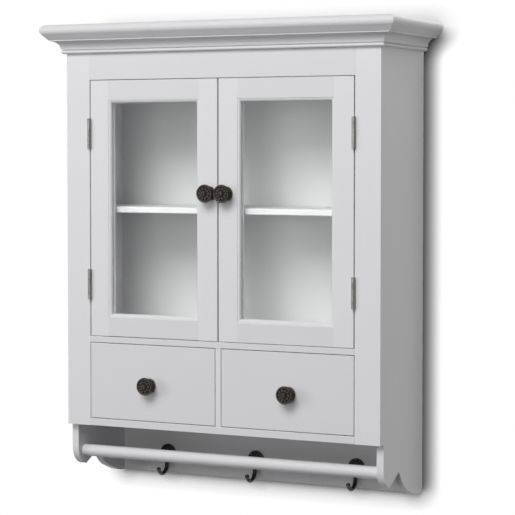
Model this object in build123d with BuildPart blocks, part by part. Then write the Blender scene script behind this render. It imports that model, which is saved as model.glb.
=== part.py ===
"""Wall-hung cabinet with two glazed doors, two drawers, a towel rail and three hooks.

The back of the cabinet lies in the wall plane, y = 0, and its front faces -Y. The origin is midway
between the two keyhole hangers. Every size is in millimetres.
"""

import os
from math import cos, radians, sin

from build123d import *

# ---------------------------------------------------------------- driving dimensions
WIDTH = 580.0            # over the side panels
DEPTH = 185.0            # wall to the front of the face frame
CARCASS_TOP = 40.0       # underside of the cornice, above the hanger line
DOOR_OPENING = 436.0     # height of the cupboard opening
DRAWER_OPENING = 130.5   # height of the drawer openings
TOP_RAIL = 45.0
MIDDLE_RAIL = 10.5
BOTTOM_RAIL = 12.5
STILE = 45.0             # width of the face frame's stiles
MULLION = 10.0           # width of the piece between the drawers
FRAME_T = 14.0           # thickness of the face frame
PANEL_T = 12.0           # side panels, top, hanging rail and apron
SHEET_T = 4.0            # hardboard of the back and the drawer bottoms
CORNICE_H = 48.5
RIM = 20.0               # how far the cornice reaches in over the carcass
CAP_T = 8.0

LOBE_DROP = 41.0         # frame bottom to where the front lobe starts to turn in
NOTCH_DROP = 53.0        # frame bottom to the point of the notch
REAR_DROP = 103.5        # frame bottom to the bottom of the rear lobe
RAIL_R = 10.2            # towel rail
RAIL_INSET = 22.0        # front edge of the side panel to the rail's axis
RAIL_DROP = 49.4         # frame bottom to the rail's axis
SOCKET_DEPTH = 6.0

DOOR_T = 16.0
SIDE_GAP = 1.8           # door edge to stile, which holds the hinge leaves
EDGE_GAP = 1.0           # above and below the doors, and round the drawer fronts
MEETING_GAP = 2.4        # between the two doors
DOOR_STILE = 34.5        # flat width, without the moulding
DOOR_TOP_RAIL = 33.5
DOOR_BOTTOM_RAIL = 32.5
MOULDING = 5.5           # width of the moulding round the glass
GLASS_SET = 7.0          # door front to the front of the glass
GLASS_T = 3.0
REBATE = 4.5             # how far the moulding covers the glass
ARRIS = 0.8              # softened edges

HINGE_L = 50.0
HINGE_FROM_TOP = 90.0    # door top to the middle of the upper hinge
HINGE_FROM_BOTTOM = 88.0
KNUCKLES = 5
KNUCKLE_R = 3.1
PIN_PROUD = 3.5          # pin axis in front of the face frame
PIN_R = 1.1
PIN_PLAY = 0.05
LEAF_T = 0.7
LEAF_W = 12.0
WORK_GAP = 0.3           # least space between neighbours that move

KNOB_FROM_EDGE = 14.4
KNOB_DROP = 189.3        # door top to the knob
KNOB_R = 15.0
KNOB_H = 25.0
DRAWER_KNOB_OUT = 4.5    # drawer knobs sit a little outside and below the middle of their fronts
DRAWER_KNOB_DOWN = 3.5

SHELF_DROP = 215.0       # cupboard opening top to the top of the shelf
SHELF_T = 10.5
SHELF_FRONT = 25.0       # face frame front to the shelf's front edge
SHELF_PLAY = 0.5         # shelf's ends to the side panels
SHELF_NOSE = 1.6         # rounding of its front edges
PEG_R = 2.5

BOX_T = 10.0             # drawer sides and back
BOX_H = 110.0
BOX_REAR = 26.0          # wall to the back of the drawer box
RUNNER_GAP = 0.5         # under and beside the drawer box

HANGER_X = 200.0         # keyholes either side of the middle
HANGER_W = 20.0
HANGER_H = 50.0
HANGER_T = 1.6
ENTRY_R = 5.0
SLOT_R = 2.6
SLOT_L = 14.0
HANGING_RAIL_LOW = -32.0

HOOKS_X = (-188.0, -14.0, 176.0)
ROSETTE_R = 17.0
HOOK_R = 3.4             # radius of the hook's rod
HOOK_BEND = 15.5         # radius of the hook's bowl, on the rod's centre line
HOOK_DROP = 68.0         # frame bottom to the rosette's middle

# ---------------------------------------------------------------- levels and planes
HALF = WIDTH / 2
INNER = HALF - PANEL_T
FRONT = -DEPTH
FRAME_BACK = FRONT + FRAME_T
CUPBOARD_TOP = CARCASS_TOP - TOP_RAIL
CUPBOARD_BOTTOM = CUPBOARD_TOP - DOOR_OPENING
DRAWER_TOP = CUPBOARD_BOTTOM - MIDDLE_RAIL
DRAWER_BOTTOM = DRAWER_TOP - DRAWER_OPENING
FRAME_BOTTOM = DRAWER_BOTTOM - BOTTOM_RAIL
OPENING_X = HALF - STILE
BACK_FACE = -PANEL_T                 # front of the hanging rail and apron
BACK_FRONT = BACK_FACE - SHEET_T     # front of the back panel
LOWEST = FRAME_BOTTOM - REAR_DROP
GROOVE = 3.0                         # how far the back panel enters the side panels

RAIL_Y = FRAME_BACK + RAIL_INSET
RAIL_Z = FRAME_BOTTOM - RAIL_DROP

DOOR_LOW = CUPBOARD_BOTTOM + EDGE_GAP
DOOR_HIGH = CUPBOARD_TOP - EDGE_GAP
DOOR_OUT = OPENING_X - SIDE_GAP      # hinge edge of a door
DOOR_IN = MEETING_GAP / 2            # meeting edge of a door
DOOR_BACK = FRONT + DOOR_T
GLASS_FRONT = FRONT + GLASS_SET
GLASS_BACK = GLASS_FRONT + GLASS_T
PIN_X = OPENING_X - SIDE_GAP / 2
PIN_Y = FRONT - PIN_PROUD
HINGE_LEVELS = (DOOR_HIGH - HINGE_FROM_TOP, DOOR_LOW + HINGE_FROM_BOTTOM)
KNOB_Z = DOOR_HIGH - KNOB_DROP
SHELF_TOP = CUPBOARD_TOP - SHELF_DROP
DRAWER_MID_X = (MULLION / 2 + OPENING_X) / 2
DRAWER_MID_Z = (DRAWER_TOP + DRAWER_BOTTOM) / 2
SIDES = {"left": -1, "right": 1}


# ---------------------------------------------------------------- helpers
def block(x, y, z, mode=Mode.ADD):
    """A board or a pocket that spans two x, two y and two z values."""
    with Locations(((x[0] + x[1]) / 2, (y[0] + y[1]) / 2, (z[0] + z[1]) / 2)):
        Box(abs(x[1] - x[0]), abs(y[1] - y[0]), abs(z[1] - z[0]), mode=mode)


def rod(at, way, radius, length, mode=Mode.ADD):
    """A round bar or a drilled hole from a point, along a direction."""
    with Locations(Plane(origin=at, z_dir=way)):
        Cylinder(radius, length, align=(Align.CENTER, Align.CENTER, Align.MIN), mode=mode)


def screw(at, way, radius, length, mode=Mode.ADD):
    """A countersunk screw, or the hole that it fills, with its head flush at a point."""
    head = 1.9 * radius
    with Locations(Plane(origin=at, z_dir=way)):
        Cone(head, radius, head - radius, align=(Align.CENTER, Align.CENTER, Align.MIN), mode=mode)
        Cylinder(radius, length, align=(Align.CENTER, Align.CENTER, Align.MIN), mode=mode)


def dome_radius(half_width, rise):
    """Radius of the ball whose cap has a given half width and rise."""
    return (half_width**2 + rise**2) / (2 * rise)


def save(builder, name):
    """Label a finished piece and write it out."""
    builder.part.label = name
    export_step(builder.part, f"parts/{name}.step")


def hinge_screw_places(side, x):
    """Where the screw heads sit on one leaf of each hinge of a door."""
    for level in HINGE_LEVELS:
        for offset in (-HINGE_L / 3, HINGE_L / 3):
            yield (side * x, FRONT + HINGE_SCREW_IN, level + offset)


os.makedirs("parts", exist_ok=True)

HINGE_SCREW_R = 1.3
HINGE_SCREW_L = 11.0
HINGE_SCREW_IN = 6.6                 # front of the frame to the hinge screws
FRAME_LEAF_X = OPENING_X - LEAF_T    # face of the leaf that the frame's screws go in by
DOOR_LEAF_X = DOOR_OUT + LEAF_T

# ---------------------------------------------------------------- side panels
LOBE_R = 33.0                        # round front corner
LOBE_END = radians(258)              # where the round corner turns into the notch
LOBE_Y = FRAME_BACK + LOBE_R
LOBE_Z = FRAME_BOTTOM - LOBE_DROP
NOTCH_Y = FRONT + 80.0
REAR_CORNER_R = 10.0
REAR_LOBE_Y = -14.0                  # lowest point of the rear lobe
SWEEP_HIGH = (24.0, 22.5)            # behind the notch and above the bottom: the rear lobe's curve
SWEEP_LOW = (58.0, 7.0)
SWEEP_ENDS = ((0.79, -1.0), (1.0, 0.0))
PEG_LEVEL = SHELF_TOP - SHELF_T - PEG_R
PEG_ROW_IN = 18.0                    # shelf's front and back edges to the pegs
PEG_ROWS = (FRONT + SHELF_FRONT + PEG_ROW_IN, BACK_FRONT - PEG_ROW_IN)
PEG_IN = 7.0
PEG_OUT = 8.0

for name, side in SIDES.items():
    with BuildPart() as panel:
        with BuildSketch(Plane.YZ.offset(side * INNER)):
            with BuildLine():
                Line((0, CARCASS_TOP), (FRAME_BACK, CARCASS_TOP))
                Line((FRAME_BACK, CARCASS_TOP), (FRAME_BACK, LOBE_Z))
                tip = (LOBE_Y + LOBE_R * cos(LOBE_END), LOBE_Z + LOBE_R * sin(LOBE_END))
                RadiusArc((FRAME_BACK, LOBE_Z), tip, -LOBE_R)
                notch = (NOTCH_Y, FRAME_BOTTOM - NOTCH_DROP)
                Line(tip, notch)
                low = (REAR_LOBE_Y, LOWEST)
                sweep_at = [(NOTCH_Y + back, LOWEST + up) for back, up in (SWEEP_HIGH, SWEEP_LOW)]
                Spline(notch, *sweep_at, low, tangents=SWEEP_ENDS)
                Line(low, (-REAR_CORNER_R, LOWEST))
                RadiusArc((-REAR_CORNER_R, LOWEST), (0, LOWEST + REAR_CORNER_R), -REAR_CORNER_R)
                Line((0, LOWEST + REAR_CORNER_R), (0, CARCASS_TOP))
            make_face()
        extrude(amount=side * PANEL_T)
        groove = (side * (INNER - 1), side * (INNER + GROOVE))
        block(groove, (BACK_FRONT, BACK_FACE), (FRAME_BOTTOM, CARCASS_TOP), Mode.SUBTRACT)
        rod((side * INNER, RAIL_Y, RAIL_Z), (side, 0, 0), RAIL_R, SOCKET_DEPTH, Mode.SUBTRACT)
        for row in PEG_ROWS:
            rod((side * INNER, row, PEG_LEVEL), (side, 0, 0), PEG_R, PEG_IN, Mode.SUBTRACT)
    save(panel, f"{name}_side_panel")

# ---------------------------------------------------------------- carcass boards
with BuildPart() as top_panel:
    block((-INNER, INNER), (FRAME_BACK, BACK_FRONT), (CARCASS_TOP - PANEL_T, CARCASS_TOP))
save(top_panel, "top_panel")

with BuildPart() as cupboard_deck:
    block((-INNER, INNER), (FRAME_BACK, BACK_FRONT), (DRAWER_TOP, CUPBOARD_BOTTOM))
save(cupboard_deck, "cupboard_deck")

with BuildPart() as bottom_panel:
    block((-INNER, INNER), (FRAME_BACK, BACK_FRONT), (FRAME_BOTTOM, DRAWER_BOTTOM))
save(bottom_panel, "bottom_panel")

with BuildPart() as drawer_divider:
    block((-MULLION / 2, MULLION / 2), (FRAME_BACK, BACK_FRONT), (DRAWER_BOTTOM, DRAWER_TOP))
save(drawer_divider, "drawer_divider")

with BuildPart() as back_panel:
    block((-INNER - GROOVE, INNER + GROOVE), (BACK_FRONT, BACK_FACE), (FRAME_BOTTOM, CARCASS_TOP))
save(back_panel, "back_panel")

with BuildPart() as shelf:
    shelf_front = FRONT + SHELF_FRONT
    shelf_x = (-INNER + SHELF_PLAY, INNER - SHELF_PLAY)
    block(shelf_x, (shelf_front, BACK_FRONT - 1), (SHELF_TOP - SHELF_T, SHELF_TOP))
    fillet(shelf.edges().filter_by(Axis.X).group_by(Axis.Y)[0], SHELF_NOSE)
save(shelf, "shelf")

with BuildPart() as shelf_pegs:
    for side in SIDES.values():
        for row in PEG_ROWS:
            rod((side * (INNER - PEG_OUT), row, PEG_LEVEL), (side, 0, 0), PEG_R, PEG_IN + PEG_OUT)
save(shelf_pegs, "shelf_pegs")

# ---------------------------------------------------------------- face frame
for name, side in SIDES.items():
    with BuildPart() as stile:
        block((side * OPENING_X, side * HALF), (FRONT, FRAME_BACK), (FRAME_BOTTOM, CARCASS_TOP))
        outer = stile.edges().filter_by(Axis.Z).filter_by_position(Axis.Y, FRONT - 1, FRONT + 1)
        fillet(outer, ARRIS)
        for place in hinge_screw_places(side, FRAME_LEAF_X):
            screw(place, (side, 0, 0), HINGE_SCREW_R, HINGE_SCREW_L, Mode.SUBTRACT)
    save(stile, f"{name}_face_stile")

face_rails = {
    "top_face_rail": (CUPBOARD_TOP, CARCASS_TOP),
    "middle_face_rail": (DRAWER_TOP, CUPBOARD_BOTTOM),
    "bottom_face_rail": (FRAME_BOTTOM, DRAWER_BOTTOM),
}
for name, levels in face_rails.items():
    with BuildPart() as face_rail:
        block((-OPENING_X, OPENING_X), (FRONT, FRAME_BACK), levels)
        fillet(face_rail.edges().filter_by(Axis.X).group_by(Axis.Y)[0], ARRIS)
    save(face_rail, name)

with BuildPart() as face_mullion:
    block((-MULLION / 2, MULLION / 2), (FRONT, FRAME_BACK), (DRAWER_BOTTOM, DRAWER_TOP))
    fillet(face_mullion.edges().filter_by(Axis.Z).group_by(Axis.Y)[0], ARRIS)
save(face_mullion, "face_mullion")

# ---------------------------------------------------------------- cornice
BEAD_H = 6.0
BEAD_OUT = 4.2
BEAD_BULGE = 2.6
COVE_LOW = (7.4, 7.4)                # outwards, upwards
COVE_MID = (11.6, 17.4)
COVE_HIGH = (21.6, 21.4)
FILLET_OUT = 22.4
NOSE_LOW = (23.4, 23.4)
NOSE_SIDE = (30.6, 31.6)
NOSE_MID = (34.0, 38.4)
NOSE_TOP = 25.5
CORNICE_REACH = NOSE_MID[0] + 2.0


def cornice_length(start, length):
    """A run of cornice from a plane whose x points outwards and whose y points up."""
    with BuildSketch(start) as section:
        with BuildLine():
            Line((-RIM, 0), (BEAD_OUT, 0))
            ThreePointArc((BEAD_OUT, 0), (BEAD_OUT + BEAD_BULGE, BEAD_H / 2), (BEAD_OUT, BEAD_H))
            Polyline((BEAD_OUT, BEAD_H), (BEAD_OUT, BEAD_H + 1), (COVE_LOW[0], BEAD_H + 1), COVE_LOW)
            ThreePointArc(COVE_LOW, COVE_MID, COVE_HIGH)
            fillet_at = ((FILLET_OUT, COVE_HIGH[1]), (FILLET_OUT, NOSE_LOW[1]))
            Polyline(COVE_HIGH, *fillet_at, NOSE_LOW, NOSE_SIDE)
            ThreePointArc(NOSE_SIDE, NOSE_MID, (NOSE_TOP, CORNICE_H))
            Polyline((NOSE_TOP, CORNICE_H), (-RIM, CORNICE_H), (-RIM, 0))
        make_face()
    extrude(section.sketch, amount=length)


mitres = {side: Plane(origin=(side * HALF, FRONT, 0), z_dir=(side, 1, 0)) for side in SIDES.values()}

with BuildPart() as cornice_front:
    reach = HALF + CORNICE_REACH
    cornice_length(Plane(origin=(reach, FRONT, CARCASS_TOP), x_dir=(0, -1, 0), z_dir=(-1, 0, 0)), 2 * reach)
    for mitre in mitres.values():
        split(bisect_by=mitre, keep=Keep.BOTTOM)
save(cornice_front, "cornice_front")

with BuildPart() as cornice_returns:
    run = DEPTH + CORNICE_REACH
    right_start = Plane(origin=(HALF, 0, CARCASS_TOP), x_dir=(1, 0, 0), z_dir=(0, -1, 0))
    cornice_length(right_start, run)
    split(bisect_by=mitres[1], keep=Keep.TOP)
    mirror(about=Plane.YZ)
save(cornice_returns, "cornice_returns")

with BuildPart() as cornice_cap:
    cap_x = HALF - RIM
    cap_levels = (CARCASS_TOP + CORNICE_H - CAP_T, CARCASS_TOP + CORNICE_H)
    block((-cap_x, cap_x), (FRONT + RIM, 0), cap_levels)
save(cornice_cap, "cornice_cap")

# ---------------------------------------------------------------- wall side: hanging rail and hangers
HANGER_SCREW_Z = 19.5
HANGER_SCREW_R = 1.5
HANGER_SCREW_L = 9.0
POCKET_DEPTH = 9.0                   # room for the wall screw's head
POCKET_R = ENTRY_R + 1.5
hanger_screws_at = [(side * HANGER_X, 0, level) for side in SIDES.values()
                    for level in (-HANGER_SCREW_Z, HANGER_SCREW_Z)]

with BuildPart() as hanging_rail:
    block((-INNER, INNER), (BACK_FACE, 0), (HANGING_RAIL_LOW, CARCASS_TOP + CORNICE_H - CAP_T))
    for side in SIDES.values():
        sides = (side * HANGER_X - HANGER_W / 2, side * HANGER_X + HANGER_W / 2)
        block(sides, (-HANGER_T, 0), (-HANGER_H / 2, HANGER_H / 2), Mode.SUBTRACT)
        pocket = (side * HANGER_X - POCKET_R, side * HANGER_X + POCKET_R)
        block(pocket, (-POCKET_DEPTH, 0), (-POCKET_R, SLOT_L + SLOT_R), Mode.SUBTRACT)
    for place in hanger_screws_at:
        screw(place, (0, -1, 0), HANGER_SCREW_R, HANGER_SCREW_L, Mode.SUBTRACT)
    cap_notch = (HALF - RIM, INNER)
    for side in SIDES.values():
        rim_x = (side * cap_notch[0], side * cap_notch[1])
        block(rim_x, (BACK_FACE, 0), (CARCASS_TOP, CARCASS_TOP + CORNICE_H), Mode.SUBTRACT)
save(hanging_rail, "hanging_rail")

with BuildPart() as hanger_plates:
    for side in SIDES.values():
        sides = (side * HANGER_X - HANGER_W / 2, side * HANGER_X + HANGER_W / 2)
        block(sides, (-HANGER_T, 0), (-HANGER_H / 2, HANGER_H / 2))
        middle = side * HANGER_X
        block((middle - SLOT_R, middle + SLOT_R), (-HANGER_T, 0), (0, SLOT_L), Mode.SUBTRACT)
        rod((middle, -HANGER_T, SLOT_L), (0, 1, 0), SLOT_R, HANGER_T, Mode.SUBTRACT)
        rod((middle, -HANGER_T, 0), (0, 1, 0), ENTRY_R, HANGER_T, Mode.SUBTRACT)
    for place in hanger_screws_at:
        screw(place, (0, -1, 0), HANGER_SCREW_R, HANGER_SCREW_L, Mode.SUBTRACT)
save(hanger_plates, "hanger_plates")

# ---------------------------------------------------------------- apron, hooks and towel rail
APRON_TOP = FRAME_BOTTOM + 20.0
HOOK_Z = FRAME_BOTTOM - HOOK_DROP
HOOK_SCREW_R = 1.8
HOOK_SCREW_L = PANEL_T + 4.0
LEG_OUT = 6.5                        # apron to the middle of the hook's leg
ROSETTE_T = 5.5
ROSETTE_EDGE = 1.6
BOWL_DIP = 2.0                       # bottom of the bowl below the apron's edge
APRON_NOSE = 1.5
TIP_R = 4.1
TIP_ANGLE = 24.0                     # how far the tip stops below the bowl's middle
hook_screws_at = [(x, 0, HOOK_Z) for x in HOOKS_X]

with BuildPart() as back_apron:
    block((-INNER, INNER), (BACK_FACE, 0), (LOWEST, APRON_TOP))
    fillet(back_apron.edges().filter_by(Axis.X).group_by(Axis.Z)[0].sort_by(Axis.Y)[0], APRON_NOSE)
    for place in hook_screws_at:
        screw(place, (0, -1, 0), HOOK_SCREW_R, HOOK_SCREW_L, Mode.SUBTRACT)
save(back_apron, "back_apron")

BOWL_Z = LOWEST - BOWL_DIP + HOOK_R + HOOK_BEND
LEG_Y = BACK_FACE - LEG_OUT
NECK_BEND = 4.5

with BuildPart() as hooks:
    for x in HOOKS_X:
        with BuildSketch(Plane.XY.move(Location((x, BACK_FACE, HOOK_Z)))) as rosette:
            with BuildLine():
                Polyline((0, 0), (ROSETTE_R, 0), (ROSETTE_R, -ROSETTE_EDGE))
                dome = dome_radius(ROSETTE_R, ROSETTE_T - ROSETTE_EDGE)
                RadiusArc((ROSETTE_R, -ROSETTE_EDGE), (0, -ROSETTE_T), dome)
                Line((0, -ROSETTE_T), (0, 0))
            make_face()
        revolve(rosette.sketch, axis=Axis((x, 0, HOOK_Z), (0, 1, 0)))
        with BuildLine(Plane.YZ.offset(x)) as hook_path:
            start = (BACK_FACE - 1.0, HOOK_Z)
            turn = (LEG_Y, HOOK_Z - NECK_BEND)
            Line(start, (LEG_Y + NECK_BEND, HOOK_Z))
            RadiusArc((LEG_Y + NECK_BEND, HOOK_Z), turn, -NECK_BEND)
            Line(turn, (LEG_Y, BOWL_Z))
            end_angle = radians(180 + TIP_ANGLE)
            bowl_y = LEG_Y - HOOK_BEND
            end = (bowl_y + HOOK_BEND * cos(end_angle), BOWL_Z + HOOK_BEND * sin(end_angle))
            ThreePointArc((LEG_Y, BOWL_Z), (bowl_y, BOWL_Z - HOOK_BEND), end)
        with BuildSketch(Plane(origin=(x, start[0], start[1]), z_dir=(0, -1, 0))) as rod_section:
            Circle(HOOK_R)
        sweep(rod_section.sketch, path=hook_path.wire())
        with Locations((x, end[0], end[1])):
            Sphere(TIP_R)
    for place in hook_screws_at:
        screw(place, (0, -1, 0), HOOK_SCREW_R, HOOK_SCREW_L, Mode.SUBTRACT)
save(hooks, "hooks")

with BuildPart() as fitting_screws:
    for place in hanger_screws_at:
        screw(place, (0, -1, 0), HANGER_SCREW_R, HANGER_SCREW_L)
    for place in hook_screws_at:
        screw(place, (0, -1, 0), HOOK_SCREW_R, HOOK_SCREW_L)
save(fitting_screws, "fitting_screws")

with BuildPart() as towel_rail:
    rail_half = INNER + SOCKET_DEPTH
    rod((-rail_half, RAIL_Y, RAIL_Z), (1, 0, 0), RAIL_R, 2 * rail_half)
save(towel_rail, "towel_rail")

# ---------------------------------------------------------------- drawer guides, stops and door catches
GUIDE_X = (OPENING_X - 3.0, OPENING_X + 9.0)
GUIDE_Y = (DOOR_BACK + 1.0, BACK_FRONT - 4.0)
GUIDE_H = 12.0
STOP_W = 20.0
STOP_H = 16.0
STOP_APART = 140.0
CATCH_X = (6.0, 30.0)
CATCH_Y = (DOOR_BACK + 0.4, DOOR_BACK + 18.0)
CATCH_H = 13.0
MAGNET_T = 4.0
MAGNET_EDGE = 3.0

with BuildPart() as drawer_guides:
    stop_back = (-BOX_REAR + RUNNER_GAP, BACK_FRONT)
    for side in SIDES.values():
        guide = (side * GUIDE_X[0], side * GUIDE_X[1])
        block(guide, GUIDE_Y, (DRAWER_BOTTOM, DRAWER_BOTTOM + GUIDE_H))
        for middle in (DRAWER_MID_X - STOP_APART / 2, DRAWER_MID_X + STOP_APART / 2):
            stop = (side * (middle - STOP_W / 2), side * (middle + STOP_W / 2))
            block(stop, stop_back, (DRAWER_BOTTOM, DRAWER_BOTTOM + STOP_H))
save(drawer_guides, "drawer_guides")

magnet_levels = (CUPBOARD_BOTTOM + MAGNET_EDGE, CUPBOARD_BOTTOM + CATCH_H - MAGNET_EDGE)
magnet_y = (CATCH_Y[0], CATCH_Y[0] + MAGNET_T)

with BuildPart() as catch_housings:
    for side in SIDES.values():
        housing = (side * CATCH_X[0], side * CATCH_X[1])
        magnet = (side * (CATCH_X[0] + MAGNET_EDGE), side * (CATCH_X[1] - MAGNET_EDGE))
        block(housing, CATCH_Y, (CUPBOARD_BOTTOM, CUPBOARD_BOTTOM + CATCH_H))
        block(magnet, magnet_y, magnet_levels, Mode.SUBTRACT)
save(catch_housings, "catch_housings")

with BuildPart() as catch_magnets:
    for side in SIDES.values():
        magnet = (side * (CATCH_X[0] + MAGNET_EDGE), side * (CATCH_X[1] - MAGNET_EDGE))
        block(magnet, magnet_y, magnet_levels)
save(catch_magnets, "catch_magnets")

# ---------------------------------------------------------------- butt hinges
KNUCKLE_L = (HINGE_L - (KNUCKLES - 1) * WORK_GAP) / KNUCKLES
FRAME_KNUCKLES = range(0, KNUCKLES, 2)
DOOR_KNUCKLES = range(1, KNUCKLES, 2)
PIN_HEAD_R = KNUCKLE_R - 0.2
PIN_HEAD_H = 0.8
TAB_GAP = 0.8                        # pin hole to the tabs that carry the knuckles


def hinge_leaf(side, level, face_x, far_x, knuckles):
    """One leaf of a butt hinge: its plate, its knuckles and the tabs that join them."""
    plate_x = (side * face_x, side * far_x)
    top = level + HINGE_L / 2
    bottom = level - HINGE_L / 2
    block(plate_x, (FRONT + WORK_GAP, FRONT + LEAF_W), (bottom, top))
    for index in knuckles:
        low = bottom + index * (KNUCKLE_L + WORK_GAP)
        block(plate_x, (PIN_Y + PIN_R + TAB_GAP, FRONT + WORK_GAP), (low, low + KNUCKLE_L))
        rod((side * PIN_X, PIN_Y, low), (0, 0, 1), KNUCKLE_R, KNUCKLE_L)
    rod((side * PIN_X, PIN_Y, bottom), (0, 0, 1), PIN_R + PIN_PLAY, HINGE_L, Mode.SUBTRACT)


with BuildPart() as frame_hinge_leaves:
    for side in SIDES.values():
        for level in HINGE_LEVELS:
            hinge_leaf(side, level, FRAME_LEAF_X, OPENING_X, FRAME_KNUCKLES)
        for place in hinge_screw_places(side, FRAME_LEAF_X):
            screw(place, (side, 0, 0), HINGE_SCREW_R, HINGE_SCREW_L, Mode.SUBTRACT)
save(frame_hinge_leaves, "frame_hinge_leaves")

with BuildPart() as hinge_pins:
    for side in SIDES.values():
        for level in HINGE_LEVELS:
            bottom = level - HINGE_L / 2
            rod((side * PIN_X, PIN_Y, bottom), (0, 0, 1), PIN_R, HINGE_L)
            for end, way in ((bottom, -1), (bottom + HINGE_L, 1)):
                rod((side * PIN_X, PIN_Y, end), (0, 0, way), PIN_HEAD_R, PIN_HEAD_H)
save(hinge_pins, "hinge_pins")

with BuildPart() as frame_hinge_screws:
    for side in SIDES.values():
        for place in hinge_screw_places(side, FRAME_LEAF_X):
            screw(place, (side, 0, 0), HINGE_SCREW_R, HINGE_SCREW_L)
save(frame_hinge_screws, "frame_hinge_screws")

# ---------------------------------------------------------------- knobs
KNOB_SCREW_R = 2.0
KNOB_SCREW_IN = 10.0
KNOB_SCREW_HEAD_R = 4.0
KNOB_SCREW_HEAD_H = 2.0
KNOB_SCREW_END = 0.5                 # room past the end of a knob's screw
# radius and height of the points that a knob's outline goes through, from its foot to its boss
FOOT_RIM = (12.0, 2.2)
FOOT_TOP = (9.6, 4.0)
NECK = (5.2, 6.8)
THROAT = (6.2, 10.0)
UNDER = (11.0, 14.4)
RIM_LOW = (KNOB_R, 16.8)
RIM_HIGH = (KNOB_R, 18.6)
BROW = (KNOB_R - 1.6, 20.9)
SHOULDER = (10.4, 22.0)
VALLEY = (8.8, 21.2)
BOSS = (7.4, 22.0)


def knob(at):
    """A turned knob on a front: foot, neck, and a wide head with a ring and a boss."""
    outline = [FOOT_RIM, FOOT_TOP, NECK, THROAT, UNDER, RIM_LOW, RIM_HIGH, BROW, SHOULDER, VALLEY, BOSS]
    rim, foot, neck, throat, under, low, high, brow, shoulder, valley, boss = (
        (radius, -height) for radius, height in outline
    )
    with BuildSketch(Plane.XY.move(Location(at))) as turning:
        with BuildLine():
            Polyline((0, 0), (rim[0], 0), rim, foot)
            ThreePointArc(foot, neck, throat)
            ThreePointArc(throat, under, low)
            Line(low, high)
            ThreePointArc(high, brow, shoulder)
            Polyline(shoulder, valley, boss)
            RadiusArc(boss, (0, -KNOB_H), dome_radius(boss[0], KNOB_H + boss[1]))
            Line((0, -KNOB_H), (0, 0))
        make_face()
    revolve(turning.sketch, axis=Axis(at, (0, 1, 0)))
    rod(at, (0, -1, 0), KNOB_SCREW_R, KNOB_SCREW_IN, Mode.SUBTRACT)


def knob_screw(at, through):
    """The screw that holds a knob from behind a board of a given thickness."""
    behind = (at[0], at[1] + through, at[2])
    rod(behind, (0, -1, 0), KNOB_SCREW_R, through + KNOB_SCREW_IN - KNOB_SCREW_END)
    rod(behind, (0, 1, 0), KNOB_SCREW_HEAD_R, KNOB_SCREW_HEAD_H)


# ---------------------------------------------------------------- doors
STRIKE_X = (8.0, 28.0)
STRIKE_H = 12.0
STRIKE_T = 1.0
STRIKE_LOW = DOOR_LOW + 1.0
BEAD_W = MOULDING - 1.0
BEAD_JOINT = 0.2
BEAD_SHY = 0.5                       # glazing beads behind the door's back
GLASS_PLAY = 0.5
QUIRK = 0.9
OVOLO = (1.3, 1.7)                   # a point on the moulding, in from its edge and down from the quirk
LIP = 1.5                            # thickness of the moulding's edge at the glass
SIGHT_TOP = DOOR_HIGH - DOOR_TOP_RAIL - MOULDING
SIGHT_BOTTOM = DOOR_LOW + DOOR_BOTTOM_RAIL + MOULDING
SIGHT_IN = DOOR_IN + DOOR_STILE + MOULDING
SIGHT_OUT = DOOR_OUT - DOOR_STILE - MOULDING


def moulded_bar(start, length, flat):
    """A door member from a plane whose x runs in towards the glass and whose y runs to the back."""
    sight = flat + MOULDING
    with BuildSketch(start) as section:
        with BuildLine():
            Polyline((0, DOOR_T), (0, 0), (flat, 0), (flat, QUIRK), (flat + QUIRK, QUIRK))
            crown = (sight - OVOLO[0], QUIRK + OVOLO[1])
            ThreePointArc((flat + QUIRK, QUIRK), crown, (sight, GLASS_SET - LIP))
            Polyline((sight, GLASS_SET - LIP), (sight, GLASS_SET), (sight - REBATE, GLASS_SET))
            Polyline((sight - REBATE, GLASS_SET), (sight - REBATE, DOOR_T), (0, DOOR_T))
        make_face()
        fillet(section.vertices().sort_by_distance(start.origin)[0], ARRIS)
    extrude(section.sketch, amount=length)


def keep_outline(points):
    """Cut the bar back to an outline seen from the front."""
    with BuildSketch(Plane.XZ.offset(-FRONT + 1)) as outline:
        with BuildLine():
            Polyline(*points, close=True)
        make_face()
    extrude(outline.sketch, amount=-DOOR_T - 2, mode=Mode.INTERSECT)


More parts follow.
